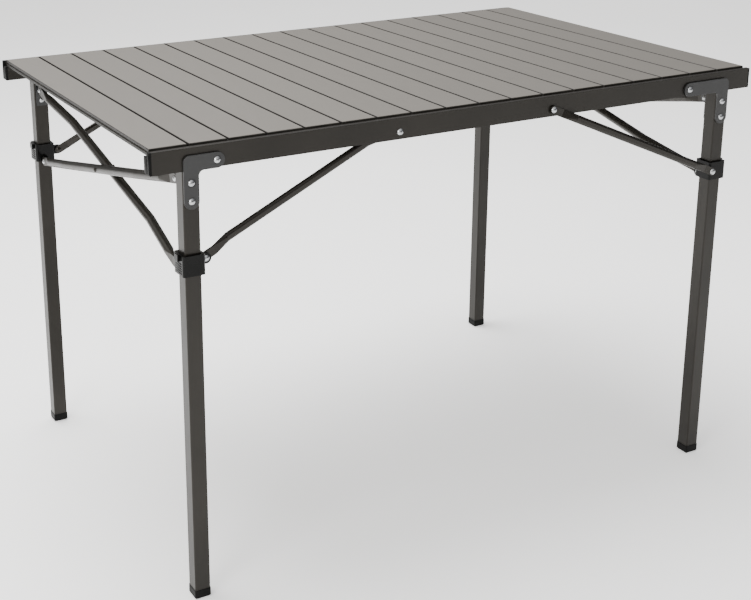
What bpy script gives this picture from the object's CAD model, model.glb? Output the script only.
import math

import bmesh
import bpy
from mathutils import Matrix, Vector


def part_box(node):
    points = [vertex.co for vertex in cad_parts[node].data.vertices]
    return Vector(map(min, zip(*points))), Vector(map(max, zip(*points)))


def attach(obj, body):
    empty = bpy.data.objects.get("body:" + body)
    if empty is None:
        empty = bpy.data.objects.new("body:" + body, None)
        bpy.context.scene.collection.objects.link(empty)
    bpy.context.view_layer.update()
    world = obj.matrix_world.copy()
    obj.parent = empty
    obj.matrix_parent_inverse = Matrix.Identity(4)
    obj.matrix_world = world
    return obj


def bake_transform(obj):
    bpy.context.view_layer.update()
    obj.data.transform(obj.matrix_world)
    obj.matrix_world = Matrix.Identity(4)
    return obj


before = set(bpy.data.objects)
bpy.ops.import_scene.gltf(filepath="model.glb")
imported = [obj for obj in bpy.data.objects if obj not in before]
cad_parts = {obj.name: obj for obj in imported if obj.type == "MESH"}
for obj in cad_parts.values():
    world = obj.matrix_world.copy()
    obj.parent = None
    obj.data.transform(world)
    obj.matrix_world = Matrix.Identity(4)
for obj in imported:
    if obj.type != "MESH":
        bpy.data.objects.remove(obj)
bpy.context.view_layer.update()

# ---- Floor, light and camera ----
# A pale studio floor with a soft key from the left, a broad top light and a weak fill on the right.
# The camera stands at the front left, a little above the table top.
FLOOR_SIZE = 14.0
FLOOR_COLOUR = (0.94, 0.94, 0.935, 1)


def new_material(name, rough, metal=0.0, coat=0.0):
    """An empty principled material and the things that are wired to it."""
    m = bpy.data.materials.new(name)
    m.use_nodes = True
    nodes, links = m.node_tree.nodes, m.node_tree.links
    shader = nodes["Principled BSDF"]
    shader.inputs["Roughness"].default_value = rough
    shader.inputs["Metallic"].default_value = metal
    shader.inputs["Coat Weight"].default_value = coat
    place = nodes.new("ShaderNodeTexCoord")
    return m, nodes, links, shader, place


def noise(nodes, links, place, scale, detail=3.0, stretch=(1, 1, 1), rough=0.5):
    """Noise on Object coordinates, with its own stretch along the three axes."""
    mapping = nodes.new("ShaderNodeMapping")
    mapping.inputs["Scale"].default_value = stretch
    links.new(place.outputs["Object"], mapping.inputs["Vector"])
    texture = nodes.new("ShaderNodeTexNoise")
    texture.inputs["Scale"].default_value = scale
    texture.inputs["Detail"].default_value = detail
    texture.inputs["Roughness"].default_value = rough
    links.new(mapping.outputs["Vector"], texture.inputs["Vector"])
    return texture.outputs["Fac"]


def ramp(nodes, links, value, stops):
    """A colour ramp over a value. stops is a list of (place, colour)."""
    node = nodes.new("ShaderNodeValToRGB")
    band = node.color_ramp
    band.elements[0].position, band.elements[0].color = stops[0]
    band.elements[1].position, band.elements[1].color = stops[-1]
    for position, colour in stops[1:-1]:
        band.elements.new(position).color = colour
    links.new(value, node.inputs["Fac"])
    return node.outputs["Color"]


floor_mesh = bpy.data.meshes.new("floor")
bm = bmesh.new()
bmesh.ops.create_grid(bm, x_segments=1, y_segments=1, size=FLOOR_SIZE / 2)
bm.to_mesh(floor_mesh)
bm.free()
floor = bpy.data.objects.new("floor", floor_mesh)
bpy.context.collection.objects.link(floor)
floor_look, nodes, links, shader, place = new_material("floor", 0.8)
links.new(
    ramp(nodes, links, noise(nodes, links, place, 1.5), [(0.3, (0.91, 0.91, 0.905, 1)), (0.7, FLOOR_COLOUR)]),
    shader.inputs["Base Color"],
)
shader.inputs["Emission Color"].default_value = (1, 1, 1, 1)
shader.inputs["Emission Strength"].default_value = 0.5
floor_mesh.materials.append(floor_look)

world = bpy.data.worlds.new("studio")
bpy.context.scene.world = world
world.use_nodes = True
nodes, links = world.node_tree.nodes, world.node_tree.links
sky = nodes["Background"]
direction = nodes.new("ShaderNodeSeparateXYZ")
links.new(nodes.new("ShaderNodeTexCoord").outputs["Generated"], direction.inputs["Vector"])
left_to_right = nodes.new("ShaderNodeMapRange")
left_to_right.inputs["From Min"].default_value = -0.9
left_to_right.inputs["From Max"].default_value = 0.7
links.new(direction.outputs["X"], left_to_right.inputs["Value"])
links.new(
    ramp(
        nodes,
        links,
        left_to_right.outputs["Result"],
        [(0.0, (1.0, 0.985, 0.96, 1)), (1.0, (0.26, 0.26, 0.27, 1))],
    ),
    sky.inputs["Color"],
)
horizon_to_top = nodes.new("ShaderNodeMapRange")
horizon_to_top.inputs["From Min"].default_value = 0.05
horizon_to_top.inputs["From Max"].default_value = 0.65
horizon_to_top.inputs["To Min"].default_value = 0.28
horizon_to_top.inputs["To Max"].default_value = 2.0
links.new(direction.outputs["Z"], horizon_to_top.inputs["Value"])
links.new(horizon_to_top.outputs["Result"], sky.inputs["Strength"])


def area_light(name, spot, target, size, watts, colour=(1, 1, 1)):
    light = bpy.data.lights.new(name, "AREA")
    light.shape = "DISK"
    light.size = size
    light.energy = watts
    light.color = colour
    lamp = bpy.data.objects.new(name, light)
    lamp.location = spot
    lamp.rotation_mode = "QUATERNION"
    lamp.rotation_quaternion = (Vector(target) - Vector(spot)).to_track_quat("-Z", "Y")
    bpy.context.collection.objects.link(lamp)


area_light("key_left", (-2.3, -1.5, 1.35), (-0.4, -0.3, 0.5), 1.2, 34, (1.0, 0.985, 0.96))
area_light("top", (-0.4, 0.8, 3.2), (0, 0, 0.7), 2.6, 190)

AZIMUTH, ELEVATION, ROLL = math.radians(-27.391), math.radians(17.031), math.radians(-0.471)
EYE = (-1.213249, -2.051513, 1.225481)
FOCAL_WIDTHS = 1.848827
SHIFT = (0.111164, -0.155102)
SENSOR = 36.0
ahead = Vector((
    -math.sin(AZIMUTH) * math.cos(ELEVATION),
    math.cos(AZIMUTH) * math.cos(ELEVATION),
    -math.sin(ELEVATION),
))
camera_data = bpy.data.cameras.new("camera")
camera_data.sensor_width = SENSOR
camera_data.lens = FOCAL_WIDTHS * SENSOR
camera_data.shift_x, camera_data.shift_y = SHIFT
camera = bpy.data.objects.new("camera", camera_data)
camera.location = EYE
camera.rotation_mode = "QUATERNION"
level = ahead.to_track_quat("-Z", "Y")
camera.rotation_quaternion = Matrix.Rotation(ROLL, 3, -ahead).to_quaternion() @ level
bpy.context.collection.objects.link(camera)
bpy.context.scene.camera = camera


# ---- Rails and legs ----
# Extruded aluminium with a dark warm grey satin coat. The rail is a tall outer box with a lower
# inner ledge; the legs are square tube. Fine die lines run along each extrusion.
def spread(nodes, links, value, low, high):
    """Maps a value from 0..1 to low..high."""
    node = nodes.new("ShaderNodeMapRange")
    node.inputs["To Min"].default_value = low
    node.inputs["To Max"].default_value = high
    links.new(value, node.inputs["Value"])
    return node.outputs["Result"]


def relief(nodes, links, shader, height, strength, depth, edge=0.0):
    """Bump from a height, over a softened edge of the given radius."""
    bump = nodes.new("ShaderNodeBump")
    bump.inputs["Strength"].default_value = strength
    bump.inputs["Distance"].default_value = depth
    links.new(height, bump.inputs["Height"])
    if edge:
        round_edge = nodes.new("ShaderNodeBevel")
        round_edge.samples = 4
        round_edge.inputs["Radius"].default_value = edge
        links.new(round_edge.outputs["Normal"], bump.inputs["Normal"])
    links.new(bump.outputs["Normal"], shader.inputs["Normal"])


def dress(look, *names):
    for name in names:
        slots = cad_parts[name].data.materials
        slots.clear()
        slots.append(look)


def dark_aluminium(name, stretch, light, dark, rough=0.36):
    m, nodes, links, shader, place = new_material(name, rough, metal=0.55)
    cloud = noise(nodes, links, place, 9.0, 4.0)
    links.new(ramp(nodes, links, cloud, [(0.25, dark), (0.75, light)]), shader.inputs["Base Color"])
    lines = noise(nodes, links, place, 60.0, 3.0, stretch)
    links.new(spread(nodes, links, lines, rough - 0.07, rough + 0.09), shader.inputs["Roughness"])
    grit = noise(nodes, links, place, 1800.0, 2.0)
    mix = nodes.new("ShaderNodeMath")
    mix.operation = "ADD"
    links.new(lines, mix.inputs[0])
    links.new(spread(nodes, links, grit, 0.0, 0.6), mix.inputs[1])
    relief(nodes, links, shader, mix.outputs["Value"], 0.22, 0.0002, 0.0009)
    return m


SHADE_LIGHT = (0.019, 0.0165, 0.013, 1)
SHADE_DARK = (0.0135, 0.0117, 0.0093, 1)
rail_look = dark_aluminium("rail_coat", (0.4, 14, 14), SHADE_LIGHT, SHADE_DARK)
leg_look = dark_aluminium("leg_coat", (14, 14, 0.4), SHADE_LIGHT, SHADE_DARK)
brace_look = dark_aluminium("brace_coat", (3, 3, 3), SHADE_LIGHT, SHADE_DARK, 0.26)
BAR_LIGHT = (0.030, 0.027, 0.0225, 1)
BAR_DARK = (0.022, 0.0195, 0.016, 1)
bar_look = dark_aluminium("bar_coat", (14, 0.6, 3), BAR_LIGHT, BAR_DARK, 0.32)
PLACES = ["front_left", "front_right", "back_left", "back_right"]
dress(rail_look, "front_rail", "back_rail", "front_ledge", "back_ledge")
dress(leg_look, *[f"leg_{place}" for place in PLACES])
dress(brace_look, *[f"brace_{place}" for place in PLACES])
dress(bar_look, *[f"scissor_{end}_{k}" for end in ("left", "right") for k in ("outer", "inner")])


# ---- Black plastic: feet, rail end caps and collars ----
# Injection-moulded nylon. Feet and end caps have a fine spark-eroded grain, the collars are
# glossier with a few flow marks, and every edge is a little rounded by the mould.
def black_plastic(name, rough, grain, coat, dark=(0.002, 0.002, 0.0019), light=(0.005, 0.005, 0.0047)):
    m, nodes, links, shader, place = new_material(name, rough, coat=coat)
    shader.inputs["Specular IOR Level"].default_value = 0.1
    cloud = noise(nodes, links, place, 35.0, 3.0)
    links.new(
        ramp(nodes, links, cloud, [(0.3, (*dark, 1)), (0.7, (*light, 1))]),
        shader.inputs["Base Color"],
    )
    links.new(spread(nodes, links, cloud, rough - 0.05, rough + 0.08), shader.inputs["Roughness"])
    shader.inputs["Coat Roughness"].default_value = 0.12
    pits = noise(nodes, links, place, grain, 2.0)
    relief(nodes, links, shader, pits, 0.25, 0.0002, 0.0008)
    return m


grained_look = black_plastic("grained_plastic", 0.48, 1600.0, 0.0)
glossy_look = black_plastic("glossy_plastic", 0.26, 400.0, 0.06)
dress(grained_look, "front_rail_caps", "back_rail_caps", *[f"foot_{place}" for place in PLACES])
dress(glossy_look, *[f"collar_{place}" for place in PLACES])

# ---- Brackets and lugs ----
# Pressed steel plate with a dark blue-grey powder coat, which shows a fine orange peel and is
# slightly lighter where it is worn.
bracket_look, nodes, links, shader, place = new_material("bracket_coat", 0.42)
cloud = noise(nodes, links, place, 22.0, 4.0)
links.new(
    ramp(nodes, links, cloud, [(0.3, (0.0105, 0.0106, 0.0108, 1)), (0.7, (0.0165, 0.0166, 0.0168, 1))]),
    shader.inputs["Base Color"],
)
links.new(spread(nodes, links, cloud, 0.34, 0.46), shader.inputs["Roughness"])
relief(nodes, links, shader, noise(nodes, links, place, 700.0, 1.0), 0.3, 0.0002, 0.0008)
dress(bracket_look, *[f"bracket_{place}" for place in PLACES])

# ---- Rivets ----
# Bright zinc-plated domed rivets with faint turning marks and scuffs.
zinc_look, nodes, links, shader, place = new_material("bright_zinc", 0.2, metal=1.0)
scuff = noise(nodes, links, place, 260.0, 4.0)
links.new(
    ramp(nodes, links, scuff, [(0.3, (0.34, 0.35, 0.36, 1)), (0.7, (0.52, 0.53, 0.54, 1))]),
    shader.inputs["Base Color"],
)
links.new(spread(nodes, links, scuff, 0.12, 0.3), shader.inputs["Roughness"])
relief(nodes, links, shader, scuff, 0.12, 0.0002)
dress(
    zinc_look,
    "front_rail_rivets",
    "back_rail_rivets",
    *[f"leg_rivets_{place}" for place in PLACES],
    *[f"collar_rivets_{place}" for place in PLACES],
)

# ---- Slats ----
# Hollow aluminium extrusions with a matte warm grey coat. The grain of the brushed metal under it
# runs along each slat, and no two slats are quite the same shade.
SLATS = 18


def slat_coat(i):
    shade = 1.0 + 0.022 * math.sin(i * 2.4) + 0.014 * math.sin(i * 5.3 + 1)
    m, nodes, links, shader, place = new_material(f"slat_coat_{i:02d}", 0.5, metal=0.4)
    grain = noise(nodes, links, place, 40.0, 5.0, (30, 0.6, 30), 0.65)
    low = [c * shade * 0.94 for c in (0.135, 0.125, 0.111)]
    high = [c * shade * 1.04 for c in (0.135, 0.125, 0.111)]
    coat = ramp(nodes, links, grain, [(0.3, (*low, 1)), (0.7, (*high, 1))])
    facing = nodes.new("ShaderNodeSeparateXYZ")
    links.new(nodes.new("ShaderNodeNewGeometry").outputs["True Normal"], facing.inputs["Vector"])
    upward = nodes.new("ShaderNodeMath")
    upward.operation = "ABSOLUTE"
    links.new(facing.outputs["X"], upward.inputs[0])
    grime = nodes.new("ShaderNodeMix")
    grime.data_type = "RGBA"
    grime.inputs[7].default_value = (0.018, 0.017, 0.015, 1)
    links.new(upward.outputs["Value"], grime.inputs["Factor"])
    links.new(coat, grime.inputs[6])
    low_x, high_x = (corner[0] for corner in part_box(f"slat_{i:02d}"))
    across = nodes.new("ShaderNodeSeparateXYZ")
    links.new(place.outputs["Object"], across.inputs["Vector"])
    from_middle = nodes.new("ShaderNodeMath")
    from_middle.operation = "SUBTRACT"
    links.new(across.outputs["X"], from_middle.inputs[0])
    from_middle.inputs[1].default_value = (low_x + high_x) / 2
    distance = nodes.new("ShaderNodeMath")
    distance.operation = "ABSOLUTE"
    links.new(from_middle.outputs["Value"], distance.inputs[0])
    rim = nodes.new("ShaderNodeMapRange")
    rim.inputs["From Min"].default_value = (high_x - low_x) / 2 - 0.0011
    rim.inputs["From Max"].default_value = (high_x - low_x) / 2 - 0.0005
    links.new(distance.outputs["Value"], rim.inputs["Value"])
    seam = nodes.new("ShaderNodeMix")
    seam.data_type = "RGBA"
    seam.inputs[7].default_value = (0.022, 0.020, 0.018, 1)
    links.new(rim.outputs["Result"], seam.inputs["Factor"])
    links.new(grime.outputs[2], seam.inputs[6])
    links.new(seam.outputs[2], shader.inputs["Base Color"])
    links.new(spread(nodes, links, grain, 0.42, 0.58), shader.inputs["Roughness"])
    relief(nodes, links, shader, grain, 0.16, 0.0002, 0.0005)
    return m


for i in range(1, SLATS + 1):
    dress(slat_coat(i), f"slat_{i:02d}")

# ---- Slat end plugs ----
# Moulded black plugs pressed into both ends of every slat. Each has a sunk face, tongues in the
# slat's two cells, and an ear beside the gap that keeps the slats in line.
plug_look = black_plastic("plug_plastic", 0.5, 1600.0, 0.0, (0.020, 0.0185, 0.0165), (0.032, 0.0295, 0.026))
PLUG = 0.002
TONGUE = 0.014
EAR = Vector((0.0021, 0.010, 0.005))


def block(bm, low, high, edge=0.0, segments=2):
    """A box between two corners, with its edges bevelled."""
    low, high = Vector(low), Vector(high)
    made = bmesh.ops.create_cube(bm, size=1.0)
    bmesh.ops.scale(bm, vec=high - low, verts=made["verts"])
    bmesh.ops.translate(bm, vec=(low + high) / 2, verts=made["verts"])
    edges = list({e for v in made["verts"] for e in v.link_edges})
    faces = list({f for v in made["verts"] for f in v.link_faces})
    if edge:
        bmesh.ops.bevel(
            bm, geom=edges, offset=edge, affect="EDGES", segments=segments, profile=0.5, material=-1
        )
    return faces


def add_piece(bm, name, look, body=None, angle=35):
    """Makes the object of a new piece and lets it ride on its body."""
    bmesh.ops.recalc_face_normals(bm, faces=bm.faces)
    mesh = bpy.data.meshes.new(name)
    bm.to_mesh(mesh)
    bm.free()
    mesh.materials.append(look)
    mesh.polygons.foreach_set("use_smooth", [True] * len(mesh.polygons))
    mesh.set_sharp_from_angle(angle=math.radians(angle))
    piece = bpy.data.objects.new(name, mesh)
    bpy.context.collection.objects.link(piece)
    if body:
        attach(piece, body)
    return piece


def slat_box(i):
    low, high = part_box(f"slat_{i:02d}")
    return Vector(low), Vector(high)


for i in range(1, SLATS + 1):
    low, high = slat_box(i)
    bm = bmesh.new()
    for side in (-1, 1):
        edge_y = high.y * side
        ys = sorted((edge_y, edge_y + side * PLUG))
        cap = (low.x + 0.0002, ys[0], low.z + 0.0002), (high.x - 0.0002, ys[1], high.z - 0.0004)
        faces = block(bm, *cap)
        outer = [f for f in faces if (f.calc_center_median().y - edge_y) * side > PLUG * 0.9]
        bmesh.ops.inset_individual(bm, faces=outer, thickness=0.0016, depth=-0.0005)
        middle = (low.x + high.x) / 2
        for half in (-1, 1):
            centre = middle + half * 0.0128
            ys = sorted((edge_y, edge_y - side * TONGUE))
            block(bm, (centre - 0.011, ys[0], low.z + 0.002), (centre + 0.011, ys[1], high.z - 0.002))
        if i < SLATS:
            ys = sorted((edge_y - side * 0.0005, edge_y - side * EAR.y))
            foot_z = low.z + 0.0015
            block(bm, (high.x - 0.0005, ys[0], foot_z), (high.x + EAR.x, ys[1], foot_z + EAR.z), 0.0005)
    add_piece(bm, f"slat_plugs_{i:02d}", plug_look, f"slat_{i:02d}")

# ---- Elastic joiners ----
# A flat black elastic strip runs in the grooves between each two slats, over their whole length.
# It stretches when the top is rolled up.
elastic_look, nodes, links, shader, place = new_material("elastic", 0.75)
weave = noise(nodes, links, place, 700.0, 2.0, (1, 3, 1))
links.new(
    ramp(nodes, links, weave, [(0.35, (0.012, 0.012, 0.012, 1)), (0.65, (0.028, 0.027, 0.026, 1))]),
    shader.inputs["Base Color"],
)
relief(nodes, links, shader, weave, 0.5, 0.0003)
GROOVE = 0.0019
ELASTIC_T = 0.0022
for i in range(1, SLATS):
    left, right = slat_box(i)[1].x, slat_box(i + 1)[0].x
    low, high = slat_box(i)
    middle_z = (low.z + high.z) / 2
    bm = bmesh.new()
    block(
        bm,
        (left - GROOVE, low.y + 0.012, middle_z - ELASTIC_T / 2),
        (right + GROOVE, high.y - 0.012, middle_z + ELASTIC_T / 2),
    )
    for cut in range(1, 7):
        x = left - GROOVE + (right - left + 2 * GROOVE) * cut / 7
        bmesh.ops.bisect_plane(
            bm, geom=bm.verts[:] + bm.edges[:] + bm.faces[:], plane_co=(x, 0, 0), plane_no=(1, 0, 0)
        )
    piece = add_piece(bm, f"elastic_{i:02d}", elastic_look)
    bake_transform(piece)

# ---- Washers under the bracket rivets ----
# A raised ring pressed into the bracket plate round each rivet's head.
RING_IN, RING_OUT, RING_H = 0.0056, 0.0068, 0.00035


def ring(bm, centre, side):
    """A flat ring with a rounded rim, facing -Y or +Y, made by a full spin of its section."""
    section = [
        bm.verts.new(centre + Vector((r, side * h, 0)))
        for r, h in ((RING_IN, 0), (RING_IN + 0.0002, RING_H), (RING_OUT - 0.0003, RING_H), (RING_OUT, 0))
    ]
    edges = [bm.edges.new(pair) for pair in zip(section, section[1:])]
    bmesh.ops.spin(
        bm, geom=section + edges, cent=centre, axis=(0, 1, 0), angle=math.tau, steps=40, use_merge=True
    )


PIVOT_Z = 0.6915
LEG_X = 0.49
ARMS = {"left": 0.04, "right": 0.074}
for place_name in PLACES:
    depth, end = place_name.split("_")
    side = -1 if depth == "front" else 1
    low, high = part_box(f"bracket_{place_name}")
    face_y = low[1] if side < 0 else high[1]
    toward = -1 if end == "left" else 1
    spots = [
        (toward * (LEG_X - ARMS[end]), PIVOT_Z),
        (toward * LEG_X, PIVOT_Z - 0.0285),
        (toward * LEG_X, PIVOT_Z - 0.0555),
    ]
    bm = bmesh.new()
    for x, z in spots:
        ring(bm, Vector((x, face_y, z)), side)
    add_piece(bm, f"bracket_rings_{place_name}", bracket_look, f"leg_{place_name}")

# ---- Faces of the rail end caps ----
# Each moulded cap has a raised face with a rounded rim that is set in from the rail's outline.
for depth, side in (("front", -1), ("back", 1)):
    low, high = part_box(f"{depth}_rail_caps")
    bm = bmesh.new()
    for x, out in ((low[0], -1), (high[0], 1)):
        xs = sorted((x - out * 0.0002, x + out * 0.0007))
        outer_y = low[1] if side < 0 else high[1]
        ys = sorted((outer_y - side * 0.0012, outer_y - side * 0.0073))
        block(bm, (xs[0], ys[0], low[2] + 0.0012), (xs[1], ys[1], high[2] - 0.0012), 0.0005)
        ys = sorted((outer_y - side * 0.0085, outer_y - side * 0.0198))
        block(bm, (xs[0], ys[0], low[2] + 0.0012), (xs[1], ys[1], high[2] - 0.0097), 0.0005)
    add_piece(bm, f"cap_faces_{depth}", grained_look, f"{depth}_rail")

# ---- Collar grips ----
# Moulded finger ribs on the outer end face of each collar, below its release ear.
for place_name in PLACES:
    end = place_name.split("_")[1]
    out = -1 if end == "left" else 1
    low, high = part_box(f"leg_{place_name}")
    face_x = out * (LEG_X + 0.01735)
    centre_y = (low[1] + high[1]) / 2
    bm = bmesh.new()
    for k in range(5):
        z = 0.529 + k * 0.0036
        xs = sorted((face_x - out * 0.0004, face_x + out * 0.0007))
        block(bm, (xs[0], centre_y - 0.010, z), (xs[1], centre_y + 0.010, z + 0.0016), 0.0004)
    add_piece(bm, f"collar_grip_{place_name}", glossy_look, f"collar_{place_name}")

# ---- Collar rivet heads of the right braces ----
# The bright domed heads of the rivets that hold the right braces to their collars.
HEAD_R, HEAD_H = 0.0054, 0.0032
HEAD_X, HEAD_Z = 0.476, 0.542
for depth, side in (("front", -1), ("back", 1)):
    collar_low, collar_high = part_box(f"collar_{depth}_right")
    flat_y = (collar_low[1] if side < 0 else collar_high[1]) + side * 0.0035
    bm = bmesh.new()
    steps = [math.radians(a) for a in (0, 15, 30, 45, 60, 75, 90)]
    section = [
        bm.verts.new(Vector((HEAD_X + HEAD_R * math.cos(a), flat_y + side * HEAD_H * math.sin(a), HEAD_Z)))
        for a in steps
    ]
    edges = [bm.edges.new(pair) for pair in zip(section, section[1:])]
    bmesh.ops.spin(
        bm,
        geom=section + edges,
        cent=(HEAD_X, flat_y, HEAD_Z),
        axis=(0, 1, 0),
        angle=math.tau,
        steps=32,
        use_merge=True,
    )
    bmesh.ops.remove_doubles(bm, verts=bm.verts, dist=0.00001)
    add_piece(bm, f"brace_rivet_{depth}", zinc_look, f"brace_{depth}_right")
